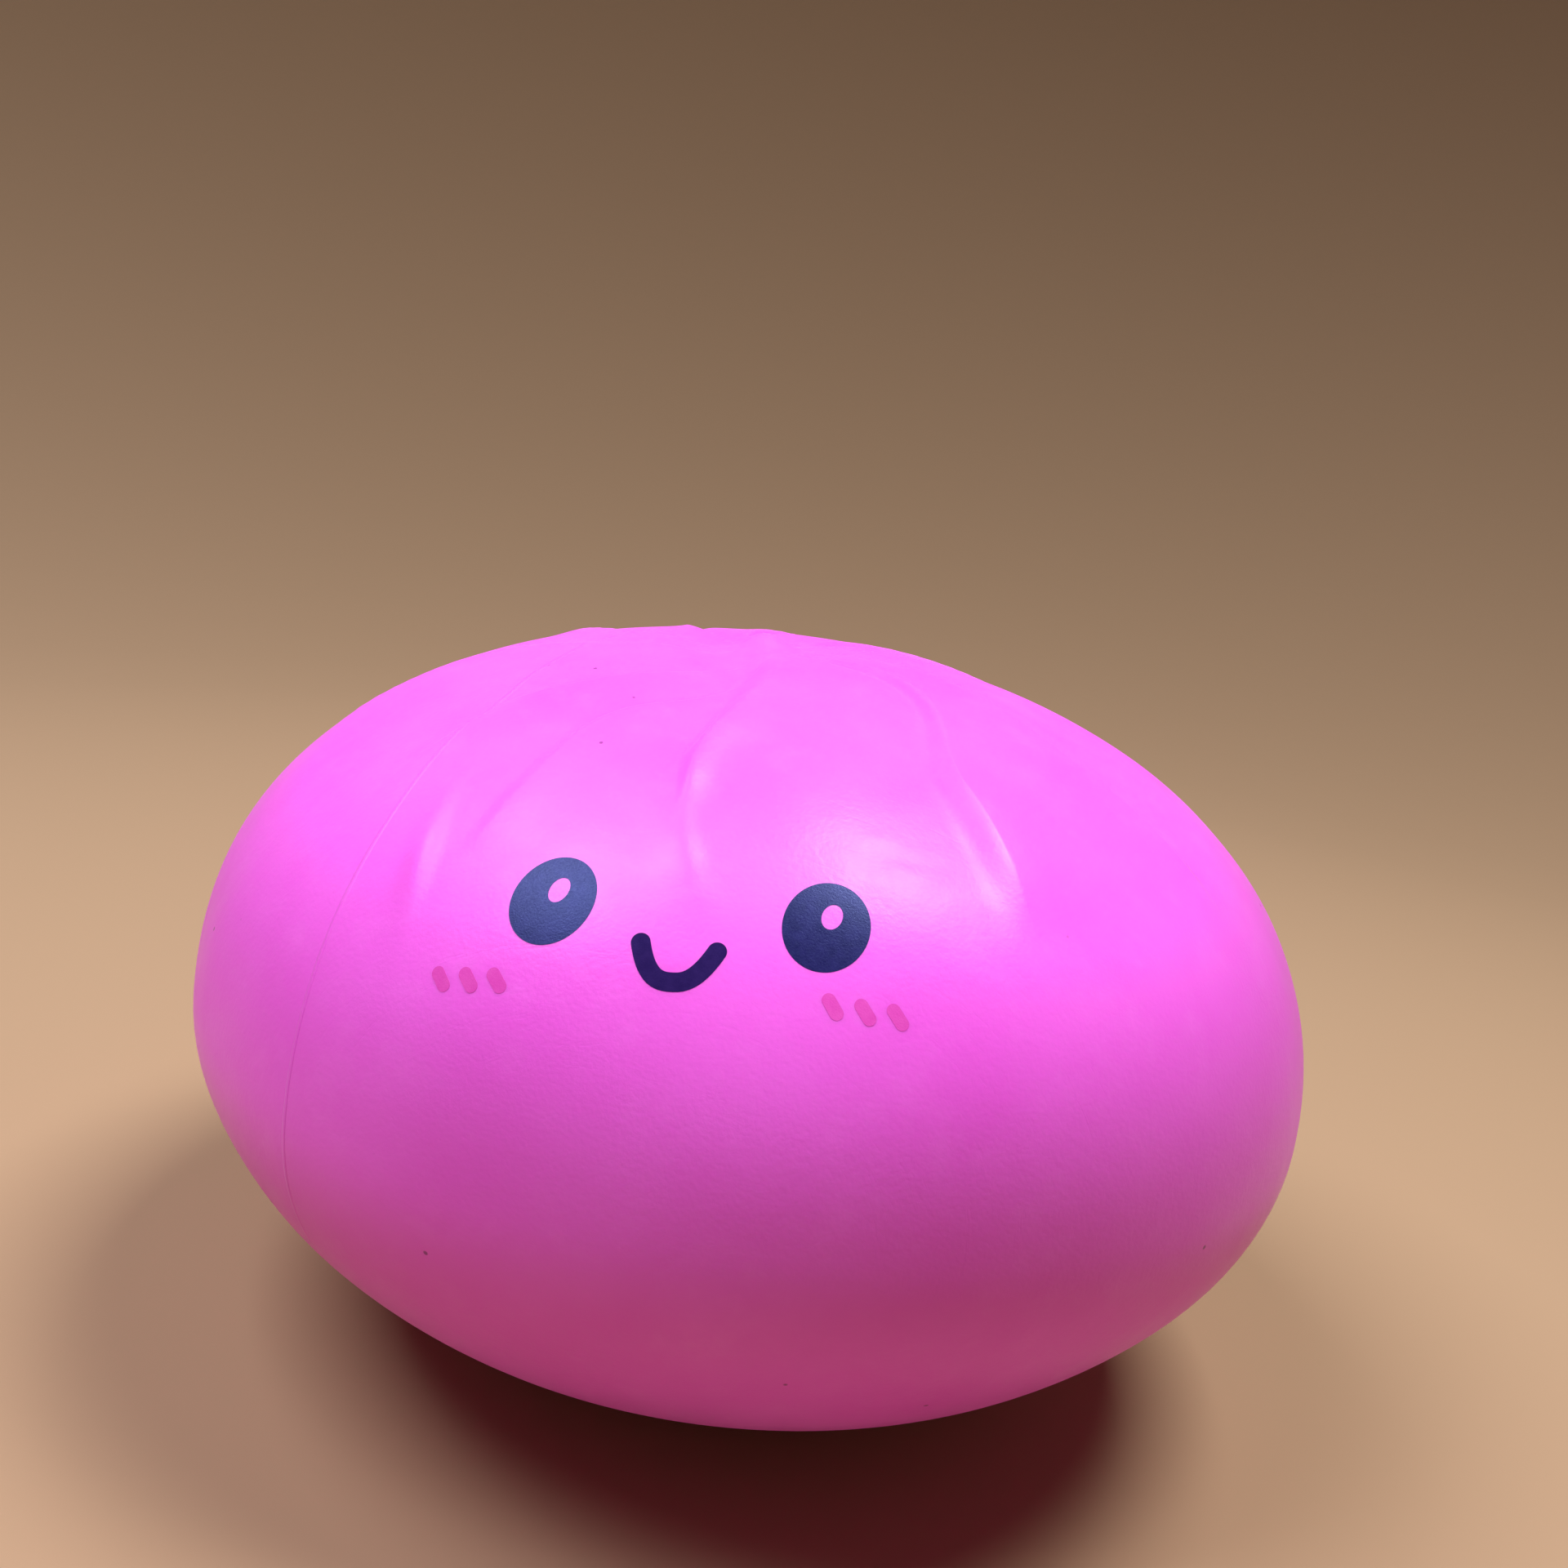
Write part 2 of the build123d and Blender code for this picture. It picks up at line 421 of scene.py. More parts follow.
    def drape(self, azimuth: float, level: float, spots: np.ndarray, lift: np.ndarray) -> np.ndarray:
        """Lay flat places onto the finished skin, as a print goes on.

        Args:
            azimuth: Where the print's own middle lies around the ball, in degrees.
            level: Where its middle lies above the equator.
            spots: Rows of distance to the right and up from the middle.
            lift: Height of each place over the skin.

        Returns:
            Rows of X, Y and Z.
        """
        turn = math.radians(azimuth)
        share = (level / self.crown_height) ** self.crown_power
        width = self.radius * (1 - share) ** (1 / self.crown_power)
        out, up = (float(part) for part in self.normals(np.array(width), np.array(level)))
        across = np.array([math.cos(turn), math.sin(turn), 0.0])
        normal = np.array([out * math.sin(turn), -out * math.cos(turn), up])
        middle = np.array([width * math.sin(turn), -width * math.cos(turn), level])
        flat = middle + spots[:, :1] * across + spots[:, 1:2] * np.cross(normal, across)
        turns = np.arctan2(flat[:, 0], -flat[:, 1])
        widths, levels = self.settle(np.hypot(flat[:, 0], flat[:, 1]), flat[:, 2])
        return self.raised(turns, widths, levels, lift)

    def raised(self, turns: np.ndarray, widths: np.ndarray, levels: np.ndarray,
               lift: np.ndarray) -> np.ndarray:
        """Places over the finished skin where the rings are centred on the axis.

        Args:
            turns: Azimuth of each place, in radians.
            widths: Its distance from the axis on the smooth skin.
            levels: Its height above the equator there.
            lift: Its height over the finished skin.

        Returns:
            Rows of X, Y and Z.
        """
        outs, ups = self.normals(widths, levels)
        smooth = np.stack([widths * np.sin(turns), -widths * np.cos(turns), levels], axis=1)
        height = self.relief(turns, widths) * (levels > 0) + self.dents(smooth) + lift
        normals = np.stack([outs * np.sin(turns), -outs * np.cos(turns), ups], axis=1)
        return smooth + normals * height[:, None] + np.array([0.0, 0.0, self.base_height])


# ---------------------------------------------------------------- finishes


@dataclass(frozen=True)
class MouldedVinyl:
    """Soft plasticised PVC, rotationally moulded in a sand-blasted mould.

    It gives a satin surface with a faint orange peel, a broad soft highlight, a little light
    through the skin, and the dust, rubbed spots and hairline marks of a ball that has been handled.
    """

    pigment: str = "EE66EB"
    deep: str = "EA5CE5"
    pale: str = "F47AF2"
    dust: str = "6B2A6A"
    grain: float = 0.9 * MM
    blotch: float = 38 * MM
    bloom: float = 9 * MM
    speck_spacing: float = 11 * MM
    rub: float = 24 * MM
    scuff: float = 16 * MM
    wrinkle: float = 5 * MM
    seam_azimuth: float = -15.0
    seam_offset: float = 37.4 * MM
    roughness: float = 0.40

    def build(self) -> bpy.types.Material:
        """Make the material.

        Returns:
            The material.
        """
        material, tree = new_tree("moulded_soft_vinyl")
        place = add_node(tree, "ShaderNodeTexCoord").outputs["Object"]
        colour = self.colour(tree, place)
        rough = self.gloss(tree, place)
        shader = add_node(
            tree,
            "ShaderNodeBsdfPrincipled",
            values={
                "IOR": 1.53,
                "Specular IOR Level": 0.29,
                "Subsurface Weight": 0.35,
                "Subsurface Radius": (1.0, 0.35, 0.85),
                "Subsurface Scale": 4 * MM,
                "Sheen Weight": 0.08,
                "Sheen Roughness": 0.45,
                "Sheen Tint": linear("FFD6FF"),
            },
            links={"Base Color": colour, "Roughness": rough, "Normal": self.surface(tree, place)},
        )
        finish_tree(tree, shader)
        return material

    def colour(self, tree: bpy.types.NodeTree, place: bpy.types.NodeSocket) -> bpy.types.NodeSocket:
        """Pigment that is a little uneven, with sparse dust specks.

        Args:
            tree: The material's node tree.
            place: The socket that gives the place on the skin.

        Returns:
            The socket that carries the colour.
        """
        cloud = add_node(
            tree, "ShaderNodeTexNoise",
            values={"Scale": 1 / self.blotch, "Detail": 3.0, "Roughness": 0.5},
            links={"Vector": place},
        )
        span = add_node(
            tree, "ShaderNodeMapRange", clamp=True,
            values={"From Min": 0.35, "From Max": 0.68},
            links={"Value": cloud.outputs[0]},
        )
        uneven = add_node(
            tree, "ShaderNodeMix", data_type="RGBA",
            values={6: linear(self.deep), 7: linear(self.pigment)},
            links={0: span.outputs[0]},
        )
        bloom = add_node(
            tree, "ShaderNodeTexNoise",
            values={"Scale": 1 / self.bloom, "Detail": 5.0, "Roughness": 0.62},
            links={"Vector": place},
        )
        bloom_span = add_node(
            tree, "ShaderNodeMapRange", clamp=True,
            values={"From Min": 0.52, "From Max": 0.8, "To Max": 0.28},
            links={"Value": bloom.outputs[0]},
        )
        paled = add_node(
            tree, "ShaderNodeMix", data_type="RGBA",
            values={7: linear(self.pale)},
            links={0: bloom_span.outputs[0], 6: uneven.outputs[2]},
        )
        cells = add_node(
            tree, "ShaderNodeTexVoronoi", feature="F1",
            values={"Scale": 1 / self.speck_spacing, "Randomness": 1.0},
            links={"Vector": place},
        )
        chosen = add_node(
            tree, "ShaderNodeSeparateColor", links={0: cells.outputs["Color"]},
        )
        few = add_node(
            tree, "ShaderNodeMath", operation="GREATER_THAN",
            values={1: 0.6}, links={0: chosen.outputs[0]},
        )
        small = add_node(
            tree, "ShaderNodeMapRange", clamp=True,
            values={"From Min": 0.028, "From Max": 0.05, "To Min": 0.75, "To Max": 0.0},
            links={"Value": cells.outputs["Distance"]},
        )
        speck = add_node(
            tree, "ShaderNodeMath", operation="MULTIPLY",
            links={0: few.outputs[0], 1: small.outputs[0]},
        )
        dusted = add_node(
            tree, "ShaderNodeMix", data_type="RGBA",
            values={7: linear(self.dust)},
            links={0: speck.outputs[0], 6: paled.outputs[2]},
        )
        return dusted.outputs[2]

    def gloss(self, tree: bpy.types.NodeTree, place: bpy.types.NodeSocket) -> bpy.types.NodeSocket:
        """Roughness that wanders, so that rubbed spots shine a little more.

        Args:
            tree: The material's node tree.
            place: The socket that gives the place on the skin.

        Returns:
            The socket that carries the roughness.
        """
        rubbed = add_node(
            tree, "ShaderNodeTexNoise",
            values={"Scale": 1 / self.rub, "Detail": 6.0, "Roughness": 0.6, "Distortion": 0.4},
            links={"Vector": place},
        )
        span = add_node(
            tree, "ShaderNodeMapRange", clamp=True,
            values={
                "From Min": 0.3,
                "From Max": 0.72,
                "To Min": self.roughness - 0.07,
                "To Max": self.roughness + 0.09,
            },
            links={"Value": rubbed.outputs[0]},
        )
        return span.outputs[0]

    def surface(self, tree: bpy.types.NodeTree, place: bpy.types.NodeSocket) -> bpy.types.NodeSocket:
        """Orange peel, small wrinkles, scuffs, and the hairline where the mould's halves met.

        Args:
            tree: The material's node tree.
            place: The socket that gives the place on the skin.

        Returns:
            The socket that carries the bumped normal.
        """
        peel = add_node(
            tree, "ShaderNodeTexNoise",
            values={"Scale": 1 / self.grain, "Detail": 2.0, "Roughness": 0.5},
            links={"Vector": place},
        )
        grain_bump = add_node(
            tree, "ShaderNodeBump",
            values={"Strength": 0.5, "Distance": 0.08 * MM},
            links={"Height": peel.outputs[0]},
        )
        wrinkled = add_node(
            tree, "ShaderNodeTexNoise",
            values={
                "Scale": 1 / self.wrinkle, "Detail": 5.0, "Roughness": 0.6, "Distortion": 0.2,
            },
            links={"Vector": place},
        )
        wrinkle_bump = add_node(
            tree, "ShaderNodeBump",
            values={"Strength": 0.18, "Distance": 0.35 * MM},
            links={"Height": wrinkled.outputs[0], "Normal": grain_bump.outputs[0]},
        )
        stretched = add_node(
            tree, "ShaderNodeMapping",
            values={"Rotation": (0.4, 0.9, 0.3), "Scale": (1.0, 14.0, 1.0)},
            links={"Vector": place},
        )
        scuffs = add_node(
            tree, "ShaderNodeTexNoise",
            values={"Scale": 1 / self.scuff, "Detail": 4.0, "Roughness": 0.7},
            links={"Vector": stretched.outputs[0]},
        )
        scuff_line = add_node(
            tree, "ShaderNodeMapRange", clamp=True,
            values={"From Min": 0.60, "From Max": 0.78},
            links={"Value": scuffs.outputs[0]},
        )
        scuff_bump = add_node(
            tree, "ShaderNodeBump", invert=True,
            values={"Strength": 0.22, "Distance": 0.08 * MM},
            links={"Height": scuff_line.outputs[0], "Normal": wrinkle_bump.outputs[0]},
        )
        across_seam = add_node(
            tree, "ShaderNodeMapping",
            values={
                "Location": (self.seam_offset, 0.0, 0.0),
                "Rotation": (0.0, 0.0, math.radians(-self.seam_azimuth)),
            },
            links={"Vector": place},
        )
        split = add_node(tree, "ShaderNodeSeparateXYZ", links={0: across_seam.outputs[0]})
        aside = add_node(
            tree, "ShaderNodeMath", operation="ABSOLUTE", links={0: split.outputs[0]},
        )
        ridge = add_node(
            tree, "ShaderNodeMapRange", clamp=True, interpolation_type="SMOOTHSTEP",
            values={"From Min": 0.2 * MM, "From Max": 0.55 * MM, "To Min": 1.0, "To Max": 0.0},
            links={"Value": aside.outputs[0]},
        )
        seam = add_node(
            tree, "ShaderNodeBump",
            values={"Strength": 0.9, "Distance": 0.16 * MM},
            links={"Height": ridge.outputs[0], "Normal": scuff_bump.outputs[0]},
        )
        return seam.outputs[0]


class Ink(Enum):
    """The inks of the printed face, by the slot that each one fills."""

    EYE = "eye_ink"
    MOUTH = "mouth_ink"
    BLUSH = "blush_ink"


@dataclass(frozen=True)
class PrintedInk:
    """Pad-printed vinyl ink, dried on the skin.

    It gives a thin film with a fine grain, slightly uneven cover, its own gloss, and a bluish haze
    where it mirrors a lamp.
    """

    name: str
    colour: str
    second: str
    roughness: float
    cloud: float = 2.6 * MM
    grain: float = 0.35 * MM
    haze: float = 0.4
    haze_tint: str = "8FA8FF"

    def build(self) -> bpy.types.Material:
        """Make the material.

        Returns:
            The material.
        """
        material, tree = new_tree(self.name)
        place = add_node(tree, "ShaderNodeTexCoord").outputs["Object"]
        cloud = add_node(
            tree, "ShaderNodeTexNoise",
            values={"Scale": 1 / self.cloud, "Detail": 5.0, "Roughness": 0.65},
            links={"Vector": place},
        )
        span = add_node(
            tree, "ShaderNodeMapRange", clamp=True,
            values={"From Min": 0.36, "From Max": 0.66},
            links={"Value": cloud.outputs[0]},
        )
        uneven = add_node(
            tree, "ShaderNodeMix", data_type="RGBA",
            values={6: linear(self.colour), 7: linear(self.second)},
            links={0: span.outputs[0]},
        )
        fine = add_node(
            tree, "ShaderNodeTexNoise",
            values={"Scale": 1 / self.grain, "Detail": 3.0, "Roughness": 0.6},
            links={"Vector": place},
        )
        bump = add_node(
            tree, "ShaderNodeBump",
            values={"Strength": 0.6, "Distance": 0.06 * MM},
            links={"Height": fine.outputs[0]},
        )
        gloss = add_node(
            tree, "ShaderNodeMapRange", clamp=True,
            values={
                "From Min": 0.3,
                "From Max": 0.7,
                "To Min": self.roughness - 0.05,
                "To Max": self.roughness + 0.08,
            },
            links={"Value": fine.outputs[0]},
        )
        shader = add_node(
            tree, "ShaderNodeBsdfPrincipled",
            values={
                "IOR": 1.5,
                "Specular IOR Level": self.haze,
                "Specular Tint": linear(self.haze_tint),
            },
            links={
                "Base Color": uneven.outputs[2],
                "Roughness": gloss.outputs[0],
                "Normal": bump.outputs[0],
            },
        )
        finish_tree(tree, shader)
        return material


@dataclass(frozen=True)
class MilkyPolythene:
    """Low-density polythene, injection moulded: waxy, milky and slightly see-through."""

    colour: str = "F3DDF2"
    flow: float = 3 * MM
    grain: float = 0.5 * MM

    def build(self) -> bpy.types.Material:
        """Make the material.

        Returns:
            The material.
        """
        material, tree = new_tree("moulded_milky_polythene")
        place = add_node(tree, "ShaderNodeTexCoord").outputs["Object"]
        flow = add_node(
            tree, "ShaderNodeTexNoise",
            values={"Scale": 1 / self.flow, "Detail": 3.0},
            links={"Vector": place},
        )
        gloss = add_node(
            tree, "ShaderNodeMapRange", clamp=True,
            values={"From Min": 0.3, "From Max": 0.7, "To Min": 0.32, "To Max": 0.46},
            links={"Value": flow.outputs[0]},
        )
        fine = add_node(
            tree, "ShaderNodeTexNoise",
            values={"Scale": 1 / self.grain, "Detail": 2.0},
            links={"Vector": place},
        )
        bump = add_node(
            tree, "ShaderNodeBump",
            values={"Strength": 0.3, "Distance": 0.04 * MM},
            links={"Height": fine.outputs[0]},
        )
        shader = add_node(
            tree, "ShaderNodeBsdfPrincipled",
            values={
                "Base Color": linear(self.colour),
                "IOR": 1.51,
                "Subsurface Weight": 0.4,
                "Subsurface Radius": (1.0, 0.9, 1.0),
                "Subsurface Scale": 2 * MM,
            },
            links={"Roughness": gloss.outputs[0], "Normal": bump.outputs[0]},
        )
        finish_tree(tree, shader)
        return material


@dataclass(frozen=True)
class StudioPaper:
    """Matt pale background paper, rolled out, which gives a soft shadow and no sheen."""

    colour: str = "A68C70"
    fibre: float = 2 * MM

    def build(self) -> bpy.types.Material:
        """Make the material.

        Returns:
            The material.
        """
        material, tree = new_tree("matt_background_paper")
        place = add_node(tree, "ShaderNodeTexCoord").outputs["Object"]
        fibre = add_node(
            tree, "ShaderNodeTexNoise",
            values={"Scale": 1 / self.fibre, "Detail": 4.0},
            links={"Vector": place},
        )
        bump = add_node(
            tree, "ShaderNodeBump",
            values={"Strength": 0.15, "Distance": 0.05 * MM},
            links={"Height": fibre.outputs[0]},
        )
        shader = add_node(
            tree, "ShaderNodeBsdfPrincipled",
            values={
                "Base Color": linear(self.colour),
                "Roughness": 0.9,
                "Specular IOR Level": 0.2,
            },
            links={"Normal": bump.outputs[0]},
        )
        finish_tree(tree, shader)
        return material


# ---------------------------------------------------------------- the skin


@dataclass
class Skin:
    """The one-piece moulded skin: pleated shell with a real wall, flat foot and valve port.

    The foot's edge is rounded by places that lie so far out from its radius, and so high. The
    outer and inner rings are further places on the foot's two flat faces.
    """

    form: BunForm
    columns_per_pleat: int = 38
    crowding: float = 0.72
    fine_step: float = 1.25 * MM
    coarse_step: float = 3.0 * MM
    inner_step: float = 9.0 * MM
    recess_radius: float = 8.5 * MM
    recess_depth: float = 3.05 * MM
    bore_radius: float = 4.05 * MM
    port_wall: float = 2.6 * MM
    port_top: float = 19.5 * MM
    rim_round: float = 0.45 * MM
    foot_edge: tuple[tuple[float, float], ...] = (
        (1.6 * MM, 0.55 * MM), (0.0, 0.12 * MM), (-2.5 * MM, 0.0),
    )
    outer_ring: float = 20 * MM
    inner_ring: float = 22 * MM
    samples: int = 2000
    fine_levels: tuple[float, float] = (34 * MM, 50 * MM)
    crowded_levels: tuple[float, float] = (5 * MM, 45 * MM)
    uneven_heights: tuple[float, float] = (8 * MM, 45 * MM)
    inner_share: float = 0.992

    def quarter(self, upper: bool, shrink: float, step: float, fine: float) -> list[tuple[float, float]]:
        """Evenly spaced points down one quarter of the outline.

        Args:
            upper: True for the crown, False for the base.
            shrink: How far inside the outer surface the outline lies.
            step: Spacing below the pleats.
            fine: Spacing across the pleats.

        Returns:
            Pairs of distance from the axis and height over the foot, from the top down.
        """
        form = self.form
        power = form.crown_power if upper else form.base_power
        pole = (form.crown_height if upper else form.base_pole) - shrink
        angle = np.linspace(0.0, math.pi / 2, self.samples)
        width = (form.radius - shrink) * np.sin(angle) ** (2 / power)
        level = pole * np.cos(angle) ** (2 / power)
        if not upper:
            width, level = width[::-1], -level[::-1]
            keep = level >= shrink - form.base_height
            width, level = width[keep], level[keep]
        along = np.concatenate([[0.0], np.cumsum(np.hypot(np.diff(width), np.diff(level)))])
        pleated = smooth_step(*self.fine_levels, level)
        count = np.cumsum(np.gradient(along) / (step + (fine - step) * pleated))
        stops = np.linspace(count[0], count[-1], int(round(count[-1] - count[0])) + 1)
        widths = np.interp(stops, count, width)
        levels = np.interp(stops, count, level)
        return list(zip(widths, levels + form.base_height))

    def outline(self) -> list[tuple[float, float]]:
        """Draw the skin's closed half section, from the outer pole round the port to the inner pole.

        Returns:
            Pairs of distance from the axis and height over the foot.
        """
        wall, rim = self.form.wall, self.rim_round
        outer = self.quarter(True, 0.0, self.coarse_step, self.fine_step)
        outer[0] = (0.0, outer[0][1])
        outer += self.quarter(False, 0.0, self.coarse_step, self.coarse_step)[1:]
        foot = outer.pop()[0]
        outer = [spot for spot in outer if spot[0] > foot + 2 * rim or spot[1] > self.form.base_height]
        rounding = [(foot + out, up) for out, up in self.foot_edge]
        recess, bore, depth = self.recess_radius, self.bore_radius, self.recess_depth
        tube, pad = bore + self.port_wall, recess + self.port_wall
        port = [
            (self.outer_ring, 0.0),
            (recess + rim, 0.0),
            (recess + 0.3 * rim, 0.3 * rim),
            (recess, rim),
            (recess, depth),
            (bore + rim, depth),
            (bore, depth + rim),
            (bore, self.port_top - rim),
            (bore + rim, self.port_top),
            (tube - rim, self.port_top),
            (tube, self.port_top - rim),
            (tube, depth + self.port_wall + 2 * rim),
            (tube + 2 * rim, depth + self.port_wall),
            (pad - rim, depth + self.port_wall),
            (pad, depth + self.port_wall - rim),
            (pad, wall + rim),
            (pad + rim, wall),
            (self.inner_ring, wall),
        ]
        inner = self.quarter(True, wall, self.inner_step, self.inner_step / 2)
        inner += self.quarter(False, wall, self.inner_step, self.inner_step)[1:]
        inner[0] = (0.0, inner[0][1])
        return outer + rounding + port + inner[::-1]

    def spun(self) -> bmesh.types.BMesh:
        """Turn the half section into a closed shell."""
        columns = self.columns_per_pleat * len(self.form.pleats)
        return revolved(self.outline(), columns, start=(0.0, -1.0))

    def crowded(self, turn: np.ndarray, hold: np.ndarray) -> np.ndarray:
        """Move evenly spaced columns so that they follow the pleats and crowd at each crease.

        Args:
            turn: Even azimuth of each column, in radians.
            hold: 1 where columns crowd fully, and 0 where they don't.

        Returns:
            The azimuth of each column's place.
        """
        starts = sorted(pleat.azimuth for pleat in self.form.pleats)
        count = len(starts)
        starts = np.array([*starts, starts[0] + 360.0])
        place = (turn % (2 * math.pi)) / (2 * math.pi) * count
        left = np.minimum(np.floor(place).astype(int), count - 1)
        share = place - left
        pulled = share - self.crowding * hold * np.sin(2 * math.pi * share) / (2 * math.pi)
        return np.radians(starts[left] + (starts[left + 1] - starts[left]) * pulled)

    def shaped(self, even: np.ndarray) -> np.ndarray:
        """Move the spun shell's places to the finished skin: off-centre tip, pleats and dents.

        Args:
            even: Rows of X, Y and Z as spun.

        Returns:
            Rows of X, Y and Z on the finished skin.
        """
        form = self.form
        width = np.hypot(even[:, 0], even[:, 1])
        level = even[:, 2] - form.base_height
        turn = np.arctan2(even[:, 0], -even[:, 1])
        crown = level > 0
        pole = np.where(crown, form.crown_height, form.base_pole)
        power = np.where(crown, form.crown_power, form.base_power)
        size = ((width / form.radius) ** power + (np.abs(level) / pole) ** power) ** (1 / power)
        shrink = np.where(size < self.inner_share, form.wall, 0.0)
        reach = width * form.radius / (form.radius - shrink)
        hold = smooth_step(*self.crowded_levels, level)
        turn = self.crowded(turn, hold) + form.swirl(reach) * crown
        shift_x, shift_y = form.tip_shift(reach)
        x = width * np.sin(turn) + shift_x * crown
        y = -width * np.cos(turn) + shift_y * crown
        moved = np.hypot(x, y)
        level = np.where(crown & (reach < form.tip_reach), form.crown_level(moved, shrink), level)
        out, up = form.normals(moved, level)
        smooth = np.stack([x, y, level], axis=1)
        low, high = self.uneven_heights
        uneven = smooth_step(low - form.base_height, high - form.base_height, level)
        height = (form.relief(turn, reach) * crown + form.dents(smooth)) * uneven
        away = np.maximum(moved, 1e-9)
        normal = np.stack([out * x / away, out * y / away, up], axis=1)
        return smooth + normal * height[:, None] + np.array([0.0, 0.0, form.base_height])

    def build(self, material: bpy.types.Material) -> bpy.types.Object:
        """Make the skin, dress it, and put it in place of its plain node.

        Args:
            material: The vinyl.

        Returns:
            The skin's object.
        """
        bm = self.spun()
        move_to(bm, self.shaped(coordinates(bm)))
        made = mesh_object("moulded_skin", bm, material)
        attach(made, "ball")
        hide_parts("skin")
        LOG.info("skin: %d faces", len(made.data.polygons))
        return made


# ---------------------------------------------------------------- the printed face


@dataclass
class PrintedMark:
    """One mark of the printed face: a thin film of ink that follows the skin.

    Tilt turns it anticlockwise, in degrees. Its lower face is sunk a little into the skin.
    """

    form: BunForm
    node: str
    ink: Ink
    azimuth: float
    level: float
    tilt: float = 0.0
    film: float = 0.04 * MM
    sunk: float = 0.06 * MM

    @property
    def slot(self) -> str:
        """The material slot that the mark fills."""
        return self.ink.value

    def flat(self) -> bmesh.types.BMesh:
        """The mark's outline as a flat meshed sheet, in metres about its middle."""
        raise NotImplementedError

    def build(self, material: bpy.types.Material) -> bpy.types.Object:
        """Lay the flat mark on the skin as a closed film with a crisp edge.

        Args:
            material: The ink.

        Returns:
            The mark's object.
        """
        bm = self.flat()
        for edge in bm.edges:
            edge.smooth = not edge.is_boundary
        top = list(bm.verts)
        heights = {vertex: self.film for vertex in top}
        lower = bmesh.ops.duplicate(bm, geom=bm.verts[:] + bm.edges[:] + bm.faces[:])
        twin = {old: lower["vert_map"][old] for old in top}
        for old in top:
            heights[twin[old]] = -self.sunk
        copies = {face for face in lower["geom"] if isinstance(face, bmesh.types.BMFace)}
        bmesh.ops.reverse_faces(bm, faces=list(copies))
        for edge in [e for e in bm.edges if e.is_boundary and all(v in twin for v in e.verts)]:
            first, second = edge.verts
            bm.faces.new((first, second, twin[second], twin[first]))
        bm.verts.index_update()
        flat = coordinates(bm)
        lean = math.radians(self.tilt)
        spots = np.stack(
            [
                flat[:, 0] * math.cos(lean) - flat[:, 1] * math.sin(lean),
                flat[:, 0] * math.sin(lean) + flat[:, 1] * math.cos(lean),
            ],
            axis=1,
        )
        lift = np.array([heights[vertex] for vertex in bm.verts])
        move_to(bm, self.form.drape(self.azimuth, self.level, spots, lift))
        bmesh.ops.recalc_face_normals(bm, faces=bm.faces)
        made = mesh_object(f"printed_{self.node}", bm, material)
        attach(made, "ball")
        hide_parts(self.node)
        LOG.info("%s: %d faces", self.node, len(made.data.polygons))
        return made


@dataclass
class PrintedEye(PrintedMark):
    """Oval eye with a small bare oval in it."""

    width: float = 14.8 * MM
    height: float = 17.2 * MM
    glint_width: float = 3.5 * MM
    glint_height: float = 4.9 * MM
    glint_right: float = 0.2 * MM
    glint_up: float = 2.1 * MM
    points: int = 72
    rings: int = 7

    def flat(self) -> bmesh.types.BMesh:
        """Bridge an outer oval to the bare oval, and cut the band into rings.

        Returns:
            The flat sheet.
        """
        bm = bmesh.new()
        outer = bmesh.ops.create_circle(bm, segments=self.points, radius=0.5)["verts"]
        bmesh.ops.scale(bm, vec=(self.width, self.height, 1), verts=outer)
        inner = bmesh.ops.create_circle(bm, segments=self.points, radius=0.5)["verts"]
        bmesh.ops.scale(bm, vec=(self.glint_width, self.glint_height, 1), verts=inner)
        bmesh.ops.translate(bm, vec=(self.glint_right, self.glint_up, 0), verts=inner)
        spokes = bmesh.ops.bridge_loops(bm, edges=bm.edges[:])["edges"]
        bmesh.ops.subdivide_edges(bm, edges=spokes, cuts=self.rings, use_grid_fill=True)
        bmesh.ops.recalc_face_normals(bm, faces=bm.faces)
        return bm


@dataclass
class PrintedStroke(PrintedMark):
    """Straight round-ended stroke."""

    length: float = 4.9 * MM
    stroke: float = 2.4 * MM
    end_points: int = 14
    spacing: float = 0.7 * MM

    def flat(self) -> bmesh.types.BMesh:
        """Stretch a disc into the stroke, and cut it across so that it can follow the skin.

        Returns:
            The flat sheet.
        """
        bm = bmesh.new()
        disc = bmesh.ops.create_circle(
            bm, cap_ends=True, segments=4 * self.end_points, radius=self.stroke / 2
        )["verts"]
        half = (self.length - self.stroke) / 2
        quarter_step = math.pi / (4 * self.end_points)
        bmesh.ops.rotate(bm, verts=disc, cent=(0, 0, 0), matrix=Matrix.Rotation(quarter_step, 3, "Z"))
        for vertex in disc:
            vertex.co.x += math.copysign(half, vertex.co.x)
        cuts = max(2, int(2 * half / self.spacing))
        for number in range(cuts + 1):
            bmesh.ops.bisect_plane(
                bm,
                geom=bm.verts[:] + bm.edges[:] + bm.faces[:],
                plane_co=(half * (2 * number / cuts - 1), 0, 0),
                plane_no=(1, 0, 0),
            )
        bmesh.ops.bisect_plane(
            bm, geom=bm.verts[:] + bm.edges[:] + bm.faces[:], plane_co=(0, 0, 0), plane_no=(0, 1, 0)
        )
        return bm


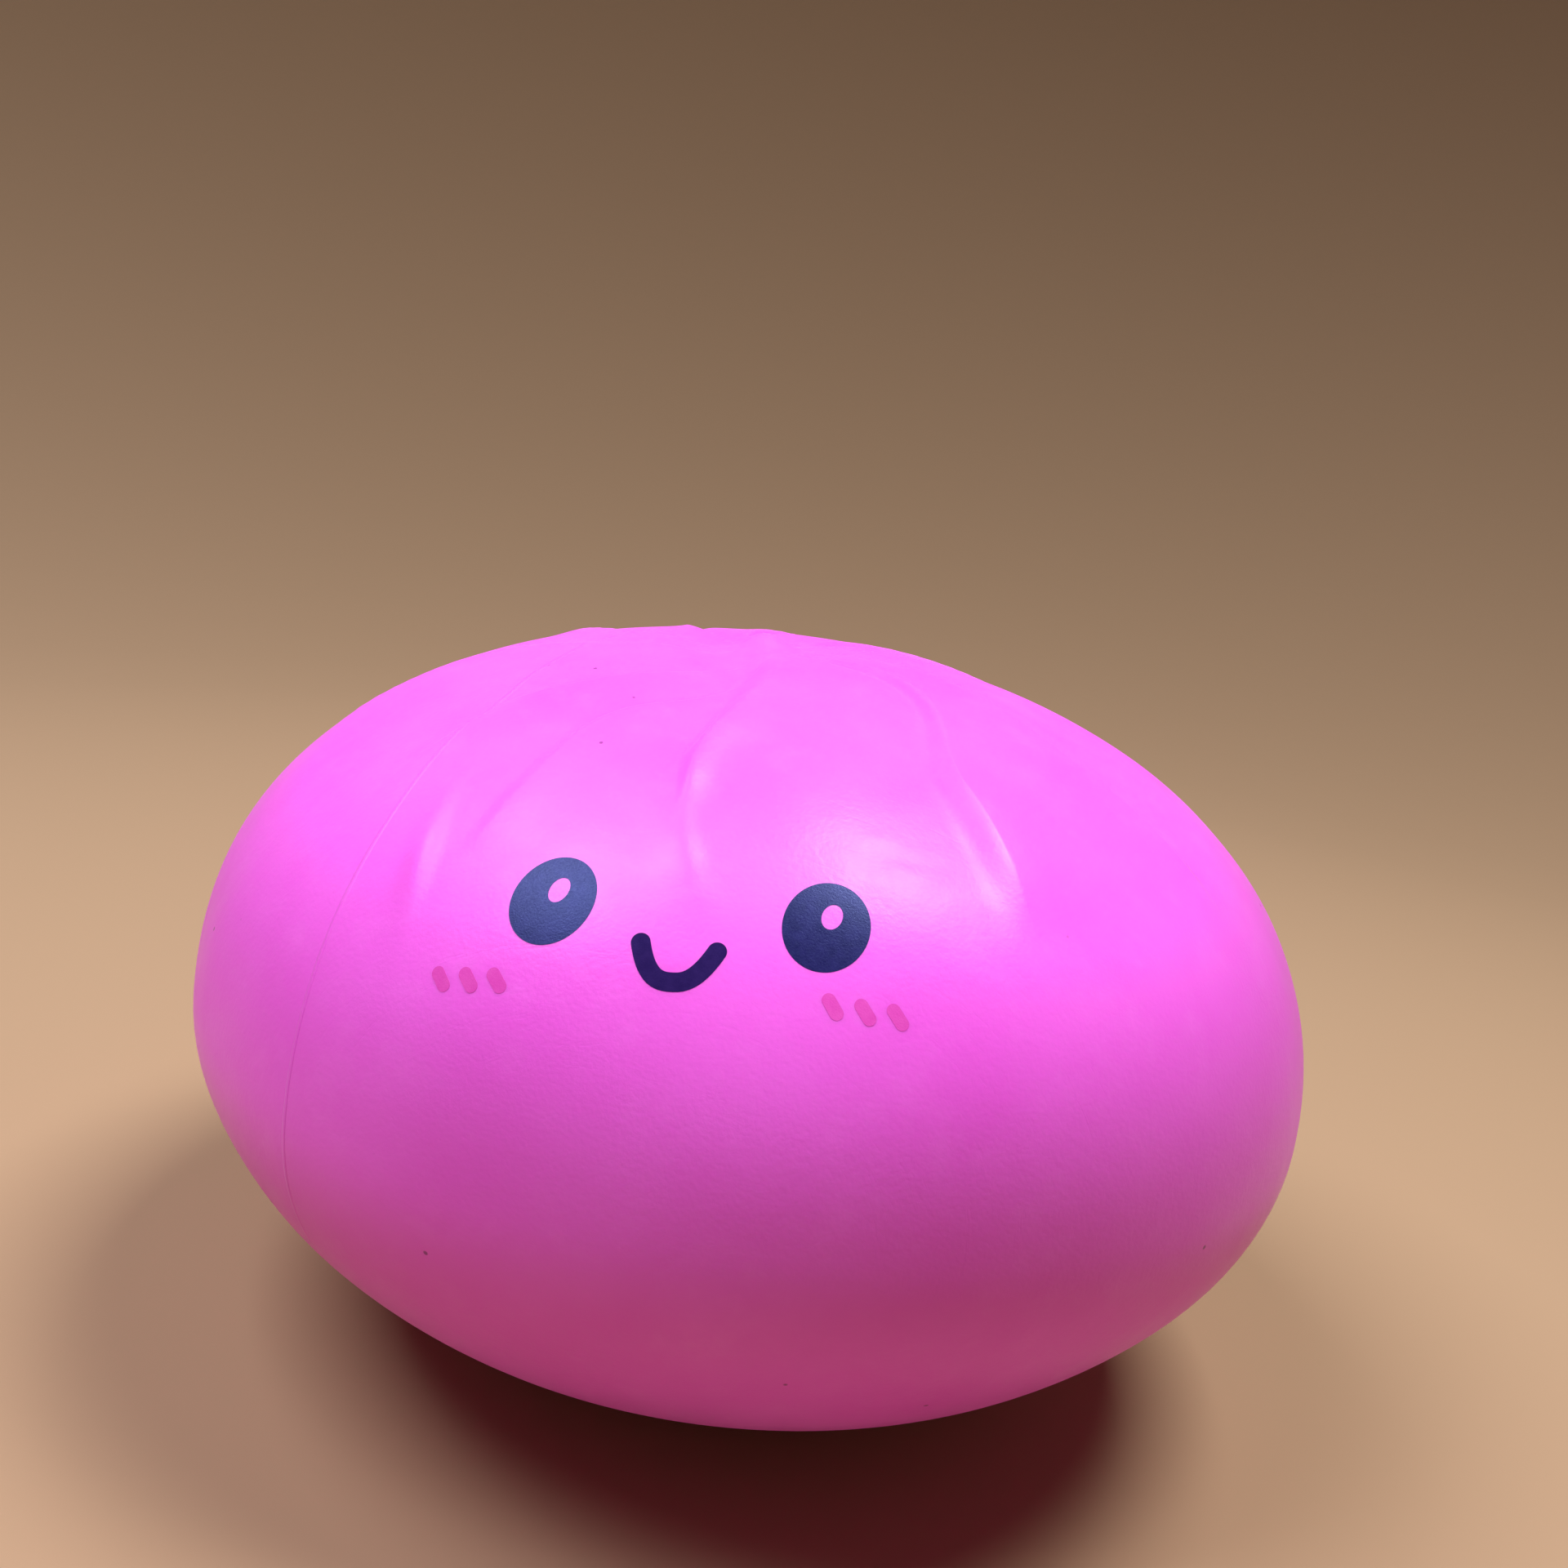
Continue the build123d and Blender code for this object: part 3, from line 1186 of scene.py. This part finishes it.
@dataclass
class PrintedSmile(PrintedStroke):
    """Round-ended stroke bent into a smile, whose arms rise as a power of the distance aside."""

    half_width: float = 6.4 * MM
    depth: float = 6.1 * MM
    power: float = 2.65
    lean: float = 0.13
    samples: int = 400

    def curve(self) -> tuple[np.ndarray, np.ndarray, np.ndarray]:
        """Trace the smile's middle line.

        Returns:
            Distances along the line from its lowest point, and the X and Y of each place.
        """
        aside = np.linspace(-self.half_width, self.half_width, self.samples + 1)
        rise = self.depth * (np.abs(aside) / self.half_width) ** self.power + self.lean * aside
        along = np.concatenate([[0.0], np.cumsum(np.hypot(np.diff(aside), np.diff(rise)))])
        return along - along[self.samples // 2], aside, rise

    def flat(self) -> bmesh.types.BMesh:
        """Bend the straight stroke along the smile's middle line.

        Returns:
            The flat sheet.
        """
        along, aside, rise = self.curve()
        self.length = along[-1] - along[0] + self.stroke
        bm = super().flat()
        tilt = np.arctan2(np.gradient(rise), np.gradient(aside))
        for vertex in bm.verts:
            stop = min(max(vertex.co.x, along[0]), along[-1])
            beyond = vertex.co.x - stop
            x, y = np.interp(stop, along, aside), np.interp(stop, along, rise)
            turn = np.interp(stop, along, tilt)
            vertex.co.x, vertex.co.y = (
                x + beyond * math.cos(turn) - vertex.co.y * math.sin(turn),
                y + beyond * math.sin(turn) + vertex.co.y * math.cos(turn),
            )
        return bm


@dataclass(frozen=True)
class Cheek:
    """Three slanted blush strokes in a row.

    Azimuth and level are the middle one's. Pitch is their spacing round the ball in degrees, and
    each stands a step higher than the one to its left.
    """

    side: Side
    azimuth: float
    pitch: float
    level: float
    step: float
    tilt: float

    def strokes(self, form: BunForm) -> list[PrintedStroke]:
        """Lay out the strokes.

        Args:
            form: The skin's surface.

        Returns:
            The strokes, from left to right.
        """
        return [
            PrintedStroke(
                form,
                f"{self.side.value}_blush_{number}",
                Ink.BLUSH,
                self.azimuth + self.pitch * (number - 2),
                self.level + self.step * (number - 2),
                tilt=self.tilt,
            )
            for number in (1, 2, 3)
        ]


@dataclass
class Face:
    """The printed face: two eyes, a smile, and three blush strokes on each cheek.

    Each eye has its azimuth, its level and its tilt.
    """

    form: BunForm
    left_eye: tuple[float, float, float] = (-12.7, 48.7 * MM, -4.0)
    right_eye: tuple[float, float, float] = (12.75, 51.9 * MM, -19.0)
    mouth_level: float = 43.9 * MM
    mouth_drop: float = 2.5 * MM
    mouth_stroke: float = 3.3 * MM
    cheeks: tuple[Cheek, ...] = (
        Cheek(Side.LEFT, -17.0, pitch=2.5, level=34.7 * MM, step=1.15 * MM, tilt=-39.0),
        Cheek(Side.RIGHT, 16.4, pitch=2.78, level=40.9 * MM, step=-0.35 * MM, tilt=-57.0),
    )

    def marks(self) -> list[PrintedMark]:
        """Put every mark at its own place and lean.

        Returns:
            The marks: eyes, mouth, left cheek, right cheek.
        """
        form = self.form
        made: list[PrintedMark] = []
        for node, (azimuth, level, tilt) in (("left_eye", self.left_eye), ("right_eye", self.right_eye)):
            made.append(PrintedEye(form, node, Ink.EYE, azimuth, level, tilt=tilt))
        mouth_level = self.mouth_level - self.mouth_drop
        made.append(PrintedSmile(form, "mouth", Ink.MOUTH, 0.0, mouth_level, stroke=self.mouth_stroke))
        for cheek in self.cheeks:
            made += cheek.strokes(form)
        return made

    def build(self) -> None:
        """Print every mark in its ink."""
        inks = {
            Ink.EYE: PrintedInk("pad_printed_navy_ink", "16144A", "211F5A", 0.32, haze=0.42),
            Ink.MOUTH: PrintedInk("pad_printed_violet_ink", "21104E", "2A1858", 0.6, haze=0.1),
            Ink.BLUSH: PrintedInk("pad_printed_rose_ink", "D444B7", "DA50BE", 0.48, haze=0.3),
        }
        finishes = {ink: finish.build() for ink, finish in inks.items()}
        for mark in self.marks():
            mark.build(finishes[mark.ink])


# ---------------------------------------------------------------- the valve plug


@dataclass
class ValvePlug:
    """Push-in plug of the port: head with rounded edges, grooved stem with a tapered end."""

    head_radius: float = 8.0 * MM
    head_low: float = 0.6 * MM
    head_thickness: float = 2.4 * MM
    stem_radius: float = 4.0 * MM
    stem_length: float = 15.0 * MM
    taper: float = 1.2 * MM
    edge: float = 0.5 * MM
    groove_depth: float = 0.22 * MM
    groove_mouth: float = 0.9 * MM
    groove_floor: float = 0.5 * MM
    groove_count: int = 3
    first_groove: float = 3.5 * MM
    groove_pitch: float = 3.2 * MM
    segments: int = 72

    def outline(self) -> list[tuple[float, float]]:
        """Draw the half section from the middle of the head's outer face to the stem's end.

        Returns:
            Pairs of distance from the axis and height over the foot.
        """
        low, top = self.head_low, self.head_low + self.head_thickness
        end = top + self.stem_length
        spots = [
            (0.0, low),
            (self.head_radius - 3 * self.edge, low),
            (self.head_radius - self.edge, low + 0.15 * self.edge),
            (self.head_radius, low + self.edge),
            (self.head_radius, top - 0.4 * self.edge),
            (self.head_radius - 0.4 * self.edge, top),
            (self.stem_radius, top),
        ]
        for number in range(self.groove_count):
            height = top + self.first_groove + self.groove_pitch * number
            spots += [
                (self.stem_radius, height - self.groove_mouth),
                (self.stem_radius - self.groove_depth, height - self.groove_floor),
                (self.stem_radius - self.groove_depth, height + self.groove_floor),
                (self.stem_radius, height + self.groove_mouth),
            ]
        spots += [
            (self.stem_radius, end - 1.6 * self.taper),
            (self.stem_radius - 0.35 * self.taper, end - 0.6 * self.taper),
            (self.stem_radius - self.taper, end),
            (0.0, end),
        ]
        return spots

    def build(self, material: bpy.types.Material) -> bpy.types.Object:
        """Make the plug and put it in place of its plain node.

        Args:
            material: The polythene.

        Returns:
            The plug's object.
        """
        made = mesh_object("valve_plug_moulding", revolved(self.outline(), self.segments), material)
        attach(made, "valve_plug")
        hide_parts("valve_plug")
        LOG.info("valve plug: %d faces", len(made.data.polygons))
        return made


# ---------------------------------------------------------------- studio and camera


@dataclass(frozen=True)
class Softbox:
    """One square diffused lamp."""

    name: str
    place: tuple[float, float, float]
    size: float
    watts: float
    tint: str = "FFFFFF"

    def hang(self, middle: Vector) -> None:
        """Hang the lamp so that it looks at the ball.

        Args:
            middle: The ball's middle.
        """
        lamp = bpy.data.lights.new(self.name, "AREA")
        lamp.shape = "SQUARE"
        lamp.size = self.size
        lamp.energy = self.watts
        lamp.color = linear(self.tint)[:3]
        holder = bpy.data.objects.new(self.name, lamp)
        holder.location = self.place
        holder.rotation_mode = "QUATERNION"
        holder.rotation_quaternion = (middle - Vector(self.place)).to_track_quat("-Z", "Y")
        holder.visible_camera = False
        bpy.context.scene.collection.objects.link(holder)


@dataclass
class Studio:
    """Pale paper bowl, a soft overhead lamp, and a soft fill lamp high on the left."""

    middle: Vector
    floor_radius: float = 0.75
    bend_radius: float = 1.5
    wall_height: float = 1.0
    segments: int = 96
    bend_steps: int = 24
    room_tint: str = "F6F2F4"
    room_strength: float = 0.02
    lamps: tuple[Softbox, ...] = (
        Softbox("overhead", (0.38, 0.05, 1.33), 0.5, 19.5, "FFFAF8"),
        Softbox("high_left_fill", (-0.66, -0.36, 1.36), 0.75, 21.5, "FAF6FF"),
    )

    def floor(self) -> bpy.types.Object:
        """Make the round paper floor that curves up into a wall all round.

        Returns:
            The floor.
        """
        spots = [(0.0, 0.0), (self.floor_radius, 0.0)]
        for step in range(1, self.bend_steps + 1):
            turn = math.pi / 2 * step / self.bend_steps
            spots.append(
                (
                    self.floor_radius + self.bend_radius * math.sin(turn),
                    self.bend_radius * (1 - math.cos(turn)),
                )
            )
        spots.append((spots[-1][0], spots[-1][1] + self.wall_height))
        bm = revolved(spots, self.segments)
        bmesh.ops.reverse_faces(bm, faces=bm.faces)
        made = mesh_object("paper_floor", bm, StudioPaper().build())
        return made

    def build(self) -> None:
        """Set up the floor, the lamps, the light of the room and the plain film response."""
        self.floor()
        for lamp in self.lamps:
            lamp.hang(self.middle)
        world = bpy.data.worlds.new("room_light")
        bpy.context.scene.world = world
        world.use_nodes = True
        backdrop = world.node_tree.nodes["Background"]
        backdrop.inputs["Color"].default_value = linear(self.room_tint)
        backdrop.inputs["Strength"].default_value = self.room_strength
        bpy.context.scene.view_settings.view_transform = "Standard"


@dataclass
class HandheldCamera:
    """Wide phone camera held close, a little above the ball, and leaning."""

    middle: Vector
    azimuth: float = 6.95
    elevation: float = 20.0
    lean: float = 8.34
    distance: float = 376.7 * MM
    pan: float = 1.128
    drop: float = 7.752
    lens: float = 36.02

    def build(self) -> bpy.types.Object:
        """Place the camera so that the ball's middle falls where pan and drop say.

        Returns:
            The camera.
        """
        turn, rise = math.radians(self.azimuth), math.radians(self.elevation)
        back = Vector((math.sin(turn) * math.cos(rise), -math.cos(turn) * math.cos(rise), math.sin(rise)))
        right = Vector((math.cos(turn), math.sin(turn), 0.0))
        up = back.cross(right)
        sight = Vector((-math.tan(math.radians(self.pan)), -math.tan(math.radians(self.drop)), -1.0))
        ahead = -sight.normalized()
        side = Vector((0.0, 1.0, 0.0)).cross(ahead).normalized()
        over = ahead.cross(side)
        lean = math.radians(self.lean)
        columns = []
        for axis in (Vector((1, 0, 0)), Vector((0, 1, 0)), Vector((0, 0, 1))):
            x, y = axis.dot(side), axis.dot(over)
            across = x * math.cos(lean) - y * math.sin(lean)
            along = x * math.sin(lean) + y * math.cos(lean)
            columns.append(across * right + along * up + axis.dot(ahead) * back)
        data = bpy.data.cameras.new("phone_camera")
        data.lens = self.lens
        data.sensor_width = 36.0
        data.clip_start, data.clip_end = 10 * MM, 20.0
        camera = bpy.data.objects.new("phone_camera", data)
        pose = Matrix(columns).transposed().to_4x4()
        pose.translation = self.middle + self.distance * back
        camera.matrix_world = pose
        bpy.context.scene.collection.objects.link(camera)
        bpy.context.scene.camera = camera
        return camera


# ---------------------------------------------------------------- everything together


def ball_form() -> BunForm:
    """Work out the ball's form, with its overall size taken from the frame.

    Returns:
        The form, with the pleats in view first and the made-up ones behind after them.
    """
    low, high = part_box("skin")
    base_height, tip_rise = 75.9 * MM, 2.2 * MM
    in_view = [
        Pleat(
            -41.0, depth=0.9 * MM, crest=0.5 * MM, narrow=2.2 * MM, broad=4.4 * MM,
            twist=1.1, soft=1.0,
        ),
        Pleat(
            -23.5, depth=1.1 * MM, crest=0.5 * MM, narrow=2.4 * MM, broad=3.4 * MM,
            wall_end=92 * MM, twist=1.2, soft=1.0,
        ),
        Pleat(
            -5.5, depth=3.0 * MM, crest=1.3 * MM, narrow=7.4 * MM, broad=2.2 * MM, fall=1.2,
            wall_end=84 * MM, crest_end=92 * MM, twist=0.75, hook=3.5, soft=0.8,
        ),
        Pleat(
            33.8, depth=1.0 * MM, crest=1.2 * MM, narrow=1.6 * MM, broad=7.2 * MM, fall=1.6,
            wall_end=106 * MM, crest_end=106 * MM, twist=1.4, soft=0.55,
        ),
        Pleat(
            64.5, depth=0.4 * MM, crest=0.3 * MM, narrow=0.9 * MM, broad=1.6 * MM, fall=5.0,
            twist=1.2, soft=0.5, side=Side.RIGHT,
        ),
        Pleat(
            100.0, depth=0.5 * MM, crest=0.4 * MM, narrow=1.2 * MM, broad=3.0 * MM, fall=3.0,
            soft=0.5, side=Side.RIGHT,
        ),
    ]
    behind = [
        Pleat(
            135.0, depth=1.0 * MM, crest=0.9 * MM, narrow=1.4 * MM, broad=3.0 * MM,
            crest_end=104 * MM, twist=0.8,
        ),
        Pleat(
            171.0, depth=1.3 * MM, crest=1.0 * MM, narrow=1.4 * MM, broad=5.4 * MM,
            twist=1.2, soft=0.5,
        ),
        Pleat(
            208.0, depth=1.0 * MM, crest=0.9 * MM, narrow=1.5 * MM, broad=3.4 * MM,
            crest_end=110 * MM, hook=5.0,
        ),
        Pleat(
            244.0, depth=1.2 * MM, crest=0.9 * MM, narrow=1.5 * MM, broad=4.6 * MM,
            twist=1.3, soft=0.6,
        ),
        Pleat(
            281.0, depth=0.9 * MM, crest=0.8 * MM, narrow=1.5 * MM, broad=3.0 * MM,
            wall_end=94 * MM, hook=4.0,
        ),
    ]
    crinkles = [
        Crinkle(-28.6, 105 * MM, 33.0, length=8 * MM, width=1.7 * MM, height=1.1 * MM, spread=1.8),
        Crinkle(-2.2, 95.5 * MM, 31.0, length=8 * MM, width=2.2 * MM, height=0.9 * MM, spread=2.2),
        Crinkle(18.0, 93.0 * MM, -15.0, length=2.2 * MM, width=1.4 * MM, height=-0.5 * MM),
        Crinkle(20.5, 91.5 * MM, 80.0, length=7 * MM, width=1.3 * MM, height=-0.25 * MM),
        Crinkle(-120.0, 9 * MM, 60.0, length=4 * MM, width=2.2 * MM, height=0.9 * MM),
    ]
    return BunForm(
        radius=(high.x - low.x) / 2,
        base_height=base_height,
        crown_height=high.z - tip_rise - base_height,
        pleats=in_view + behind,
        crinkles=crinkles,
    )


def main() -> None:
    """Build the ball, its studio and its camera."""
    logging.basicConfig(level=logging.INFO, format="%(name)s %(message)s")
    form = ball_form()
    middle = Vector((0.0, 0.0, form.base_height))
    HandheldCamera(middle).build()
    Studio(middle).build()
    Skin(form).build(MouldedVinyl().build())
    Face(form).build()
    ValvePlug().build(MilkyPolythene().build())


if __name__ == "__main__":
    main()
